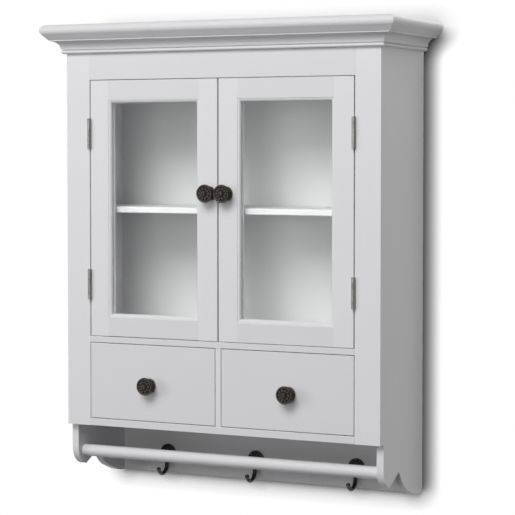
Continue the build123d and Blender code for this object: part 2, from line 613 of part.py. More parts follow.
for name, side in SIDES.items():
    knob_at = (side * (DOOR_IN + KNOB_FROM_EDGE), FRONT, KNOB_Z)
    rebate_low = SIGHT_BOTTOM - REBATE
    rebate_high = SIGHT_TOP + REBATE
    rebate_in = side * (SIGHT_IN - REBATE)
    rebate_out = side * (SIGHT_OUT + REBATE)

    for place, edge, way in (("hinge", DOOR_OUT, -1), ("meeting", DOOR_IN, 1)):
        flat_x = side * (edge + way * DOOR_STILE)
        sight_x = side * (edge + way * (DOOR_STILE + MOULDING))
        inwards = side * way
        with BuildPart() as door_stile:
            low_end = (side * edge, FRONT, DOOR_LOW)
            if inwards > 0:
                start = Plane(origin=low_end, x_dir=(1, 0, 0), z_dir=(0, 0, 1))
                moulded_bar(start, DOOR_HIGH - DOOR_LOW, DOOR_STILE)
            else:
                high_end = (side * edge, FRONT, DOOR_HIGH)
                start = Plane(origin=high_end, x_dir=(-1, 0, 0), z_dir=(0, 0, -1))
                moulded_bar(start, DOOR_HIGH - DOOR_LOW, DOOR_STILE)
            keep_outline([
                (side * edge, DOOR_LOW), (flat_x, DOOR_LOW), (flat_x, DOOR_LOW + DOOR_BOTTOM_RAIL),
                (sight_x, SIGHT_BOTTOM), (sight_x, SIGHT_TOP), (flat_x, DOOR_HIGH - DOOR_TOP_RAIL),
                (flat_x, DOOR_HIGH), (side * edge, DOOR_HIGH),
            ])
            if place == "hinge":
                for hole in hinge_screw_places(side, DOOR_LEAF_X):
                    screw(hole, (-side, 0, 0), HINGE_SCREW_R, HINGE_SCREW_L, Mode.SUBTRACT)
            else:
                rod(knob_at, (0, 1, 0), KNOB_SCREW_R, DOOR_T, Mode.SUBTRACT)
                strike = (side * STRIKE_X[0], side * STRIKE_X[1])
                strike_levels = (STRIKE_LOW, STRIKE_LOW + STRIKE_H)
                block(strike, (DOOR_BACK - STRIKE_T, DOOR_BACK), strike_levels, Mode.SUBTRACT)
        save(door_stile, f"{name}_door_{place}_stile")

    flats = sorted((side * (DOOR_IN + DOOR_STILE), side * (DOOR_OUT - DOOR_STILE)))
    sights = sorted((side * SIGHT_IN, side * SIGHT_OUT))
    for place, level, flat, way in (
        ("top", DOOR_HIGH, DOOR_TOP_RAIL, -1),
        ("bottom", DOOR_LOW, DOOR_BOTTOM_RAIL, 1),
    ):
        flat_z = level + way * flat
        sight_z = level + way * (flat + MOULDING)
        with BuildPart() as door_rail:
            near = flats[1] if way > 0 else flats[0]
            start = Plane(origin=(near, FRONT, level), x_dir=(0, 0, way), z_dir=(-way, 0, 0))
            moulded_bar(start, flats[1] - flats[0], flat)
            keep_outline([
                (flats[0], level), (flats[1], level), (flats[1], flat_z),
                (sights[1], sight_z), (sights[0], sight_z), (flats[0], flat_z),
            ])
        save(door_rail, f"{name}_door_{place}_rail")

    with BuildPart() as glass:
        pane_x = (rebate_in + side * GLASS_PLAY, rebate_out - side * GLASS_PLAY)
        block(pane_x, (GLASS_FRONT, GLASS_BACK), (rebate_low + GLASS_PLAY, rebate_high - GLASS_PLAY))
    save(glass, f"{name}_door_glass")

    with BuildPart() as glazing_beads:
        bead_y = (GLASS_BACK, DOOR_BACK - BEAD_SHY)
        for levels in ((rebate_low, rebate_low + BEAD_W), (rebate_high - BEAD_W, rebate_high)):
            block((rebate_in, rebate_out), bead_y, levels)
        for column in ((rebate_in, rebate_in + side * BEAD_W), (rebate_out, rebate_out - side * BEAD_W)):
            column_z = (rebate_low + BEAD_W + BEAD_JOINT, rebate_high - BEAD_W - BEAD_JOINT)
            block(column, bead_y, column_z)
    save(glazing_beads, f"{name}_door_glazing_beads")

    with BuildPart() as door_hinge_leaves:
        for level in HINGE_LEVELS:
            hinge_leaf(side, level, DOOR_LEAF_X, DOOR_OUT, DOOR_KNUCKLES)
        for hole in hinge_screw_places(side, DOOR_LEAF_X):
            screw(hole, (-side, 0, 0), HINGE_SCREW_R, HINGE_SCREW_L, Mode.SUBTRACT)
    save(door_hinge_leaves, f"{name}_door_hinge_leaves")

    with BuildPart() as door_screws:
        for hole in hinge_screw_places(side, DOOR_LEAF_X):
            screw(hole, (-side, 0, 0), HINGE_SCREW_R, HINGE_SCREW_L)
        knob_screw(knob_at, DOOR_T)
    save(door_screws, f"{name}_door_screws")

    with BuildPart() as door_knob:
        knob(knob_at)
    save(door_knob, f"{name}_door_knob")

    with BuildPart() as strike_plate:
        strike = (side * STRIKE_X[0], side * STRIKE_X[1])
        block(strike, (DOOR_BACK - STRIKE_T, DOOR_BACK), (STRIKE_LOW, STRIKE_LOW + STRIKE_H))
    save(strike_plate, f"{name}_door_strike_plate")

# ---------------------------------------------------------------- drawers
FRONT_X = (MULLION / 2 + EDGE_GAP, OPENING_X - EDGE_GAP)
FRONT_Z = (DRAWER_BOTTOM + EDGE_GAP, DRAWER_TOP - EDGE_GAP)
BOX_X = (MULLION / 2 + 1.0, GUIDE_X[0] - 1.0)
BOX_LOW = DRAWER_BOTTOM + RUNNER_GAP
FLOOR_UP = 6.0                       # underside of the box to the drawer bottom
FLOOR_Z = (BOX_LOW + FLOOR_UP, BOX_LOW + FLOOR_UP + SHEET_T)
FLOOR_IN = 4.0                       # how far the drawer bottom enters its grooves
GLUE = 0.1                           # glue line between the sides and the back

for name, side in SIDES.items():
    knob_at = (side * (DRAWER_MID_X + DRAWER_KNOB_OUT), FRONT, DRAWER_MID_Z - DRAWER_KNOB_DOWN)
    box_in = side * BOX_X[0]
    box_out = side * BOX_X[1]
    floor_x = (side * (BOX_X[0] + BOX_T - FLOOR_IN), side * (BOX_X[1] - BOX_T + FLOOR_IN))
    floor_y = (DOOR_BACK - FLOOR_IN, -BOX_REAR - BOX_T)

    with BuildPart() as drawer_front:
        block((side * FRONT_X[0], side * FRONT_X[1]), (FRONT, DOOR_BACK), FRONT_Z)
        fillet(drawer_front.faces().sort_by(Axis.Y)[0].edges(), ARRIS)
        block(floor_x, (DOOR_BACK - FLOOR_IN, DOOR_BACK), FLOOR_Z, Mode.SUBTRACT)
        rod(knob_at, (0, 1, 0), KNOB_SCREW_R, DOOR_T, Mode.SUBTRACT)
    save(drawer_front, f"{name}_drawer_front")

    with BuildPart() as drawer_box:
        for column in ((box_in, box_in + side * BOX_T), (box_out, box_out - side * BOX_T)):
            block(column, (DOOR_BACK, -BOX_REAR), (BOX_LOW, BOX_LOW + BOX_H))
        block(floor_x, floor_y, FLOOR_Z, Mode.SUBTRACT)
        between = (box_in + side * (BOX_T + GLUE), box_out - side * (BOX_T + GLUE))
        block(between, (-BOX_REAR - BOX_T, -BOX_REAR), (FLOOR_Z[0], BOX_LOW + BOX_H))
    save(drawer_box, f"{name}_drawer_box")

    with BuildPart() as drawer_floor:
        block(floor_x, floor_y, FLOOR_Z)
    save(drawer_floor, f"{name}_drawer_bottom")

    with BuildPart() as drawer_knob:
        knob(knob_at)
    save(drawer_knob, f"{name}_drawer_knob")

    with BuildPart() as drawer_knob_screw:
        knob_screw(knob_at, DOOR_T)
    save(drawer_knob_screw, f"{name}_drawer_knob_screw")
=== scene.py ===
"""Looks of a wall-hung cabinet with two glazed doors, two drawers, a towel rail and three hooks.

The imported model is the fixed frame. Its boards, panes and hinges are dressed in painted, glass and
metal finishes, and the cast knobs, the hooks and the screws are built in finer detail in its place.
"""

import logging
from dataclasses import dataclass
from enum import Enum
from math import cos, pi, radians, sin
from typing import ClassVar, Iterable, Sequence

import bmesh
import bpy
from mathutils import Matrix, Vector


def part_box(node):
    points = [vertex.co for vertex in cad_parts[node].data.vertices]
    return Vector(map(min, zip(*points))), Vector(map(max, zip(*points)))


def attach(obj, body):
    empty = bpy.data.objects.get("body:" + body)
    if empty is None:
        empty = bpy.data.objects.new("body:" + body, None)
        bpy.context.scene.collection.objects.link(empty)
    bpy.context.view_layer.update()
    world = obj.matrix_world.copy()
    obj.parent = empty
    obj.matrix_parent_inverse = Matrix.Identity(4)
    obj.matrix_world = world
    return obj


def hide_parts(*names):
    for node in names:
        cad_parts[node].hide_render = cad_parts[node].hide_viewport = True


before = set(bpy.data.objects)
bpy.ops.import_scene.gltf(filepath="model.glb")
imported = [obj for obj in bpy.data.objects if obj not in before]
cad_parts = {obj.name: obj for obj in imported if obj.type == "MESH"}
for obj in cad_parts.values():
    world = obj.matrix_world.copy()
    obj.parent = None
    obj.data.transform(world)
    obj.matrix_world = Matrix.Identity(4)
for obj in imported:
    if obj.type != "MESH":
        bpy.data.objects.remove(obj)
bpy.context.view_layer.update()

LOG = logging.getLogger("cabinet")
MM = 0.001
SOFTEN_SHARE = 0.5       # how far each round of softening moves a casting's points
SOFTEN_ROUNDS = 2
FORWARD = Matrix.Rotation(pi / 2, 4, "X")     # turns what stands on the XY plane to face forward

Point = tuple[float, float, float]
Colour = tuple[float, float, float]
Tint = Colour | bpy.types.NodeSocket
Stops = Sequence[tuple[float, float]]


class Side(Enum):
    """The two hands of the cabinet, seen from the front."""

    LEFT = "left"
    RIGHT = "right"


class Body(Enum):
    """The bodies that the joints join."""

    CABINET = "cabinet"
    LEFT_DOOR = "left_door"
    RIGHT_DOOR = "right_door"
    LEFT_DRAWER = "left_drawer"
    RIGHT_DRAWER = "right_drawer"


class Slot(Enum):
    """The record's material slots that match the built pieces' finishes."""

    BRONZE = "dark_bronze"
    ZINC = "zinc_steel"


class Way(Enum):
    """A main direction, as the axis number that it runs along."""

    ACROSS = 0
    DEEP = 1
    UP = 2


class HeadForm(Enum):
    """How a screw's head sits: sunk into a countersink, or standing on the surface."""

    SUNK = "sunk"
    PAN = "pan"


# ------------------------------------------------------------------ node trees
class Value:
    """A number from a node, which takes part in ordinary arithmetic by adding Math nodes."""

    def __init__(self, bench: "NodeBench", socket: bpy.types.NodeSocket) -> None:
        """Wraps one output socket.

        Args:
            bench: The tree that the socket belongs to.
            socket: The output socket.
        """
        self.bench = bench
        self.socket = socket

    def _math(self, operation: str, first: "Value | float", second: "Value | float") -> "Value":
        """Adds one Math node.

        Args:
            operation: The node's operation.
            first: Its first term.
            second: Its second term.

        Returns:
            The node's result.
        """
        made = self.bench.node("ShaderNodeMath", {"operation": operation}, {0: first, 1: second})
        return Value(self.bench, made.outputs[0])

    def __add__(self, other: "Value | float") -> "Value":
        """Sum."""
        return self._math("ADD", self, other)

    __radd__ = __add__

    def __sub__(self, other: "Value | float") -> "Value":
        """Difference."""
        return self._math("SUBTRACT", self, other)

    def __rsub__(self, other: "Value | float") -> "Value":
        """Difference, with this value taken away."""
        return self._math("SUBTRACT", other, self)

    def __mul__(self, other: "Value | float") -> "Value":
        """Product."""
        return self._math("MULTIPLY", self, other)

    __rmul__ = __mul__

    def __truediv__(self, other: "Value | float") -> "Value":
        """Quotient."""
        return self._math("DIVIDE", self, other)

    def __pow__(self, other: "Value | float") -> "Value":
        """Power."""
        return self._math("POWER", self, other)

    def __gt__(self, other: "Value | float") -> "Value":
        """One where this value is the greater, and zero elsewhere."""
        return self._math("GREATER_THAN", self, other)

    def __lt__(self, other: "Value | float") -> "Value":
        """One where this value is the smaller, and zero elsewhere."""
        return self._math("LESS_THAN", self, other)

    def held(self) -> "Value":
        """This value, kept from zero to one."""
        return self._math("MINIMUM", self._math("MAXIMUM", self, 0.0), 1.0)


class NodeBench:
    """Lays out the nodes of one tree."""

    def __init__(self, tree: bpy.types.NodeTree) -> None:
        """Starts on a tree.

        Args:
            tree: The shader or geometry tree to build in.
        """
        self.tree = tree

    def node(
        self, kind: str, settings: dict | None = None, inputs: dict | None = None,
    ) -> bpy.types.Node:
        """Adds one node.

        Args:
            kind: The node's type.
            settings: Its settings, set first. A ramp's stops go under "stops".
            inputs: What its sockets take, by name or number: a constant, a socket or a Value.

        Returns:
            The node.
        """
        made = self.tree.nodes.new(kind)
        for name, setting in (settings or {}).items():
            if name == "stops":
                self._set_stops(made.color_ramp, setting)
            else:
                setattr(made, name, setting)
        for name, given in (inputs or {}).items():
            self.feed(made.inputs[name], given)
        return made

    def feed(self, socket: bpy.types.NodeSocket, given: object) -> None:
        """Gives an input socket its constant or its link.

        Args:
            socket: The input socket.
            given: A constant, an output socket or a Value.
        """
        if isinstance(given, Value):
            self.tree.links.new(given.socket, socket)
        elif isinstance(given, bpy.types.NodeSocket):
            self.tree.links.new(given, socket)
        else:
            socket.default_value = given

    @staticmethod
    def _set_stops(ramp: bpy.types.ColorRamp, stops: Stops) -> None:
        """Sets a ramp's stops.

        Args:
            ramp: The ramp.
            stops: Places and grey levels, in order.
        """
        while len(ramp.elements) < len(stops):
            ramp.elements.new(0.5)
        for element, (place, level) in zip(ramp.elements, stops):
            element.position = place
            element.color = (level, level, level, 1.0)

    def value(self, node: bpy.types.Node, output: int | str = 0) -> Value:
        """A node's output as a Value."""
        return Value(self, node.outputs[output])


class FinishBench(NodeBench):
    """Lays out the shader nodes of one finish, on Object coordinates in metres."""

    def __init__(self, material: bpy.types.Material) -> None:
        """Starts on an empty material.

        Args:
            material: The material to fill.
        """
        super().__init__(material.node_tree)
        self.tree.nodes.clear()
        self.place = self.node("ShaderNodeTexCoord").outputs["Object"]
        self.output = self.node("ShaderNodeOutputMaterial")

    def noise(self, scale: float, detail: float, place: bpy.types.NodeSocket | None = None) -> Value:
        """Soft noise from zero to one.

        Args:
            scale: Features in a metre.
            detail: How many finer layers it has.
            place: The coordinates, or None for the plain ones.

        Returns:
            The noise.
        """
        given = {"Vector": place or self.place, "Scale": scale, "Detail": detail}
        return self.value(self.node("ShaderNodeTexNoise", {}, given), "Fac")

    def lines(self, scale: float, detail: float, way: Way, stretch: float) -> Value:
        """Noise that is drawn out into lines along one axis.

        Args:
            scale: Features in a metre across the lines.
            detail: How many finer layers it has.
            way: The axis that the lines run along.
            stretch: What share of that scale it has along them.

        Returns:
            The noise.
        """
        scales = [1.0, 1.0, 1.0]
        scales[way.value] = stretch
        drawn = self.node("ShaderNodeMapping", {}, {"Vector": self.place, "Scale": scales})
        return self.noise(scale, detail, drawn.outputs[0])

    def cells(self, scale: float) -> Value:
        """Distance to the nearest of scattered points, in the pattern's own scale."""
        given = {"Vector": self.place, "Scale": scale}
        return self.value(self.node("ShaderNodeTexVoronoi", {}, given), "Distance")

    def ramp(self, value: Value, stops: Stops) -> Value:
        """A value passed through a ramp of grey levels."""
        return self.value(self.node("ShaderNodeValToRGB", {"stops": stops}, {"Fac": value}))

    def axis(self, way: Way) -> Value:
        """One coordinate of the surface, in metres."""
        return self.value(self.node("ShaderNodeSeparateXYZ", {}, {0: self.place}), way.value)

    def tone(self, share: Value, first: Tint, second: Tint) -> bpy.types.NodeSocket:
        """A colour between two.

        Args:
            share: Zero gives the first and one the second.
            first: A linear colour, or the socket of one.
            second: A linear colour, or the socket of one.

        Returns:
            The colour.
        """
        first, second = ((*tint, 1.0) if isinstance(tint, tuple) else tint for tint in (first, second))
        return self.node("ShaderNodeMix", {"data_type": "RGBA"}, {0: share, 6: first, 7: second}).outputs[2]

    def relief(self, height: Value, depth: float) -> bpy.types.NodeSocket:
        """A normal from a height.

        Args:
            height: Height from zero to one.
            depth: What one stands for, in metres.

        Returns:
            The normal.
        """
        given = {"Strength": 1.0, "Distance": depth, "Height": height}
        return self.node("ShaderNodeBump", {}, given).outputs[0]

    def surface(self, inputs: dict) -> bpy.types.Node:
        """Adds the Principled shader and joins it to the output.

        Args:
            inputs: What its sockets take.

        Returns:
            The shader's node.
        """
        shader = self.node("ShaderNodeBsdfPrincipled", {}, inputs)
        self.feed(self.output.inputs["Surface"], shader.outputs[0])
        return shader


# ------------------------------------------------------------------ finishes
def dimmed(colour: Colour, share: float) -> Colour:
    """A colour at a share of its strength."""
    return tuple(share * part for part in colour)


@dataclass(frozen=True)
class Finish:
    """A finish that is laid on surfaces. Each kind builds its own shader."""

    made: ClassVar[dict[str, bpy.types.Material]] = {}

    @property
    def label(self) -> str:
        """The material's name."""
        return type(self).__name__.lower()

    def build(self, bench: FinishBench) -> None:
        """Lays out the shader."""
        raise NotImplementedError

    def material(self) -> bpy.types.Material:
        """The Blender material, made once.

        Returns:
            The material.
        """
        if self.label not in self.made:
            material = bpy.data.materials.new(self.label)
            material.use_nodes = True
            self.build(FinishBench(material))
            self.made[self.label] = material
        return self.made[self.label]


@dataclass(frozen=True)
class SatinPaint(Finish):
    """White satin paint, brushed along a board's grain and sanded between coats."""

    grain: Way
    tint: Colour = (0.842, 0.835, 0.855)
    shade: Colour = (0.815, 0.808, 0.826)
    # Boards running across take this share of the colour. This is painted shade, not a different paint.
    across_painted_shade: float = 0.945
    roughness: float = 0.36
    brush_scale: float = 320.0
    brush_stretch: float = 0.045
    drift_scale: float = 3.1
    peel_scale: float = 1500.0
    handled_scale: float = 11.0
    depth: float = 0.00006

    @property
    def label(self) -> str:
        """The material's name."""
        return f"satin_paint_{self.grain.name.lower()}"

    def build(self, bench: FinishBench) -> None:
        """Broad drifts of tone, fine brush lines along the grain, a soft peel in the film, and a painted
        shade that makes the boards running across darker.

        Args:
            bench: The bench of its material.
        """
        lines = bench.lines(self.brush_scale, 3.0, self.grain, self.brush_stretch)
        drift = bench.noise(self.drift_scale, 3.0)
        peel = bench.noise(self.peel_scale, 1.0)
        handled = bench.ramp(bench.noise(self.handled_scale, 4.0), ((0.42, 0.0), (0.68, 1.0)))
        share = (drift * 0.7 + lines * 0.3).held()
        # Painted shade: boards running across are darker, as if they caught less light than the uprights.
        painted_shade_share = self.across_painted_shade if self.grain is Way.ACROSS else 1.0
        bench.surface({
            "Base Color": bench.tone(share, dimmed(self.shade, painted_shade_share), dimmed(self.tint, painted_shade_share)),
            "Roughness": self.roughness + lines * 0.10 + handled * 0.05,
            "IOR": 1.48,
            "Normal": bench.relief(lines * 0.65 + peel * 0.35, self.depth),
        })


@dataclass(frozen=True)
class FacedHardboard(Finish):
    """Hardboard with a white face, whose other side is bare brown board with a pressed mesh."""

    axis: Way
    bare_from: float
    bare_below: bool
    white: Colour = (0.77, 0.775, 0.77)
    bare: Colour = (0.235, 0.130, 0.066)
    fibre: Colour = (0.155, 0.082, 0.042)
    mesh_pitch: float = 0.0016
    fibre_scale: float = 620.0
    eggshell_scale: float = 900.0
    stain_scale: float = 9.0
    depth: float = 0.00018

    @property
    def label(self) -> str:
        """The material's name."""
        return f"faced_hardboard_{self.axis.name.lower()}"

    def build(self, bench: FinishBench) -> None:
        """White eggshell on one face, and on the other the fibres and the mesh of the press.

        Args:
            bench: The bench of its material.
        """
        level = bench.axis(self.axis)
        bare_side = level < self.bare_from if self.bare_below else level > self.bare_from
        turns = 2 * pi / self.mesh_pitch
        rows, columns = (
            bench.value(bench.node("ShaderNodeMath", {"operation": "SINE"}, {0: bench.axis(way) * turns}))
            for way in Way if way is not self.axis
        )
        mesh = (rows * columns * 0.5 + 0.5).held()
        fibres = bench.noise(self.fibre_scale, 4.0)
        eggshell = bench.noise(self.eggshell_scale, 2.0)
        stain = bench.noise(self.stain_scale, 4.0)
        white = bench.tone(stain, dimmed(self.white, 0.97), self.white)
        brown = bench.tone((fibres * 0.7 + stain * 0.5).held(), self.fibre, self.bare)
        height = mesh * bare_side * 0.7 + fibres * bare_side * 0.3 + eggshell * 0.12
        bench.surface({
            "Base Color": bench.tone(bare_side, white, brown),
            "Roughness": 0.46 + bare_side * 0.26 + eggshell * 0.06,
            "Normal": bench.relief(height, self.depth),
        })


@dataclass(frozen=True)
class FloatGlass(Finish):
    """Clear float glass with a faint green body and the haze that wiping leaves."""

    body: Colour = (0.985, 0.992, 0.987)
    passed: Colour = (0.985, 0.992, 0.988)
    wipe_scale: float = 24.0
    wipe_stretch: float = 0.35

    def build(self, bench: FinishBench) -> None:
        """Smooth glass that lets light through to the shelves behind it.

        Args:
            bench: The bench of its material.
        """
        wipes = bench.lines(self.wipe_scale, 5.0, Way.UP, self.wipe_stretch)
        wiped = bench.ramp(wipes, ((0.45, 0.0), (0.8, 1.0)))
        glass = bench.surface({
            "Base Color": (*self.body, 1.0),
            "Roughness": 0.012 + wiped * 0.035,
            "IOR": 1.5,
            "Transmission Weight": 1.0,
        })
        clear = bench.node("ShaderNodeBsdfTransparent", {}, {"Color": (*self.passed, 1.0)})
        lamps = bench.node("ShaderNodeLightPath").outputs["Is Shadow Ray"]
        both = bench.node("ShaderNodeMixShader", {}, {0: lamps, 1: glass.outputs[0], 2: clear.outputs[0]})
        bench.feed(bench.output.inputs["Surface"], both.outputs[0])


@dataclass(frozen=True)
class AgedBronze(Finish):
    """Dark bronze on a casting: near black in its hollows, and lighter on its high points, partly from
    rubbed wear and partly from a painted highlight.
    """

    hollow: Colour = (0.0052, 0.0042, 0.0035)
    skin: Colour = (0.024, 0.020, 0.017)
    # Colour of the crests: rubbed bronze together with a painted highlight.
    rubbed_highlight: Colour = (0.36, 0.32, 0.28)
    blotch_scale: float = 340.0
    grit_scale: float = 2600.0
    depth: float = 0.00012

    def build(self, bench: FinishBench) -> None:
        """Patina by the casting's own relief, with a broken tone and a grainy skin. The crests are
        lightened, partly as rubbed wear and partly as a painted highlight.

        Args:
            bench: The bench of its material.
        """
        crest = bench.value(bench.node("ShaderNodeNewGeometry"), "Pointiness")
        blotch = bench.noise(self.blotch_scale, 4.0)
        grit = bench.noise(self.grit_scale, 3.0)
        worn = crest + (blotch - 0.5) * 0.03
        # The crests' share of the lighter colour, which is rubbed wear and a painted highlight.
        high = bench.ramp(worn, ((0.503, 0.0), (0.545, 1.0)))
        low = bench.ramp(worn, ((0.44, 1.0), (0.50, 0.0)))
        skin = bench.tone(blotch, dimmed(self.skin, 0.75), self.skin)
        dark = bench.tone(low, skin, self.hollow)
        bench.surface({
            "Base Color": bench.tone(high * 0.8, dark, self.rubbed_highlight),
            "Metallic": 0.55 + high * 0.4,
            "Roughness": (0.40 + low * 0.22 + grit * 0.12 - high * 0.10).held(),
            "Normal": bench.relief(grit * 0.6 + blotch * 0.4, self.depth),
        })


@dataclass(frozen=True)
class NamedFinish(Finish):
    """A finish that comes in several kinds, each with its own name."""

    name: str

    @property
    def label(self) -> str:
        """The material's name."""
        return self.name


@dataclass(frozen=True)
class PlatedSteel(NamedFinish):
    """Plated steel with fine lines from rolling, a broken sheen and dulled patches."""

    bright: Colour
    dull: Colour
    roughness: float
    line_scale: float = 2400.0
    line_stretch: float = 0.03
    spangle_scale: float = 700.0
    tarnish_scale: float = 150.0
    depth: float = 0.00003

    def build(self, bench: FinishBench) -> None:
        """Rolling lines, spangle and tarnish.

        Args:
            bench: The bench of its material.
        """
        lines = bench.lines(self.line_scale, 3.0, Way.UP, self.line_stretch)
        spangle = bench.cells(self.spangle_scale)
        tarnish = bench.ramp(bench.noise(self.tarnish_scale, 4.0), ((0.40, 0.0), (0.70, 1.0)))
        share = (tarnish * 0.75 + spangle * 0.35).held()
        bench.surface({
            "Base Color": bench.tone(share, self.bright, self.dull),
            "Metallic": 1.0 - tarnish * 0.12,
            "Roughness": self.roughness + lines * 0.10 + tarnish * 0.12,
            "Normal": bench.relief(lines * 0.6 + spangle * 0.4, self.depth),
        })


@dataclass(frozen=True)
class MouldedPart(NamedFinish):
    """A moulded or pressed part with a fine grain."""

    tint: Colour
    shade: Colour
    roughness: float
    grain_scale: float = 2600.0
    drift_scale: float = 90.0
    depth: float = 0.00006

    def build(self, bench: FinishBench) -> None:
        """Fine grain and a slow drift of tone.

        Args:
            bench: The bench of its material.
        """
        grain = bench.cells(self.grain_scale)
        drift = bench.noise(self.drift_scale, 3.0)
        bench.surface({
            "Base Color": bench.tone((drift * 0.8 + grain * 0.25).held(), self.shade, self.tint),
            "Roughness": self.roughness + grain * 0.10,
            "Normal": bench.relief(grain, self.depth),
        })


HINGE_STEEL = PlatedSteel("dull_nickel", (0.44, 0.43, 0.41), (0.25, 0.245, 0.235), 0.34)
ZINC_STEEL = PlatedSteel("bright_zinc", (0.62, 0.62, 0.60), (0.42, 0.43, 0.43), 0.28)
CATCH_PLASTIC = MouldedPart("catch_plastic", (0.70, 0.70, 0.69), (0.62, 0.62, 0.61), 0.45)
FERRITE = MouldedPart("ferrite", (0.026, 0.026, 0.028), (0.012, 0.012, 0.013), 0.55)


# ------------------------------------------------------------------ mesh work
def placed(name: str, data: bpy.types.ID) -> bpy.types.Object:
    """Adds an object to the scene, at the origin.

    Args:
        name: The object's name.
        data: Its mesh, camera or light.

    Returns:
        The object.
    """
    made = bpy.data.objects.new(name, data)
    bpy.context.scene.collection.objects.link(made)
    return made


def shelled(rings: Sequence[Sequence[Point]], capped: bool) -> bpy.types.Mesh:
    """Joins rings of points into a closed shell, in order.

    Args:
        rings: The rings, all of one count, or of a single point where the shell ends in a pole.
        capped: Whether the first and last rings are closed by a face each.

    Returns:
        The shell's mesh, its faces pointing outwards.
    """
    shell = bmesh.new()
    rows = [[shell.verts.new(point) for point in ring] for ring in rings]
    steps = max(len(row) for row in rows)
    for lower, upper in zip(rows, rows[1:]):
        for i in range(steps):
            j = (i + 1) % steps
            corners = (
                lower[i % len(lower)], lower[j % len(lower)], upper[j % len(upper)], upper[i % len(upper)],
            )
            shell.faces.new(list(dict.fromkeys(corners)))
    if capped:
        shell.faces.new(rows[0])
        shell.faces.new(rows[-1])
    bmesh.ops.recalc_face_normals(shell, faces=shell.faces)
    mesh = bpy.data.meshes.new("shell")
    shell.to_mesh(mesh)
    shell.free()
    return mesh


def lathe(profile: Sequence[tuple[float, float]], steps: int) -> bpy.types.Mesh:
    """Turns a profile round the Z axis into a closed shell.

    Args:
        profile: Radius and height of each point, from one end on the axis to the other.
        steps: How many faces there are round it.

    Returns:
        The shell's mesh.
    """
    turns = [2 * pi * i / steps for i in range(steps)]
    return shelled([
        [(radius * cos(turn), radius * sin(turn), height) for turn in (turns if radius else turns[:1])]
        for radius, height in profile
    ], False)


def swept(path: Sequence[Vector], radii: Sequence[float], steps: int) -> bpy.types.Mesh:
    """A round bar along a path in the YZ plane, closed at both ends.

    Args:
        path: The bar's middle line.
        radii: Its radius at each point.
        steps: How many faces there are round it.

    Returns:
        The bar's mesh.
    """
    side = Vector((1, 0, 0))
    turns = [2 * pi * k / steps for k in range(steps)]
    rings = []
    for i, (point, radius) in enumerate(zip(path, radii)):
        run = (path[min(i + 1, len(path) - 1)] - path[max(i - 1, 0)]).normalized()
        up = run.cross(side)
        rings.append([point + radius * (cos(turn) * side + sin(turn) * up) for turn in turns])
    return shelled(rings, True)


def evaluated(host: bpy.types.Object) -> bpy.types.Mesh:
    """The plain mesh that an object's modifiers give, with the object removed.

    Args:
        host: An object that is only there for its modifiers.

    Returns:
        The mesh.
    """
    bpy.context.view_layer.update()
    depsgraph = bpy.context.evaluated_depsgraph_get()
    mesh = bpy.data.meshes.new_from_object(host.evaluated_get(depsgraph), depsgraph=depsgraph)
    bpy.data.objects.remove(host)
    return mesh


def joined(meshes: Iterable[bpy.types.Mesh]) -> bpy.types.Mesh:
    """Puts meshes together into one, and removes them.

    Args:
        meshes: The meshes, each in its place.

    Returns:
        The one mesh.
    """
    together = bmesh.new()
    for mesh in meshes:
        together.from_mesh(mesh)
        bpy.data.meshes.remove(mesh)
    made = bpy.data.meshes.new("joined")
    together.to_mesh(made)
    together.free()
    return made


def poured(shells: Iterable[bpy.types.Mesh], grain: float) -> bpy.types.Mesh:
    """Runs closed shells together into one casting with softened meetings.

    Args:
        shells: The shells' meshes, which are used up.
        grain: The size of the finest detail that is kept.

    Returns:
        The casting's mesh.
    """
    host = placed("casting", joined(shells))
    skin = host.modifiers.new("skin", "REMESH")
    skin.mode = "VOXEL"
    skin.voxel_size = grain
    skin.use_smooth_shade = True
    soften = host.modifiers.new("soften", "SMOOTH")
    soften.factor = SOFTEN_SHARE
    soften.iterations = SOFTEN_ROUNDS
    return evaluated(host)


def shown(name: str, mesh: bpy.types.Mesh, finish: Finish) -> bpy.types.Object:
    """Puts a finished mesh into the scene.

    Args:
        name: The object's name.
        mesh: Its mesh, already in place.
        finish: What it is finished in.

    Returns:
        The object.
    """
    mesh.name = name
    mesh.materials.clear()
    mesh.materials.append(finish.material())
    return placed(name, mesh)


def islands(node: str) -> list[list[Vector]]:
    """The separate solids of a CAD node, each as its points.

    Args:
        node: The node's name.

    Returns:
        One list of points for each solid, in metres.
    """
    copy = bmesh.new()
    copy.from_mesh(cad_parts[node].data)
    bmesh.ops.remove_doubles(copy, verts=copy.verts, dist=1e-6)
    waiting = set(copy.verts)
    found = []
    while waiting:
        reached = [waiting.pop()]
        for vert in reached:
            for edge in vert.link_edges:
                other = edge.other_vert(vert)
                if other in waiting:
                    waiting.discard(other)
                    reached.append(other)
        found.append([vert.co.copy() for vert in reached])
    copy.free()
    return found


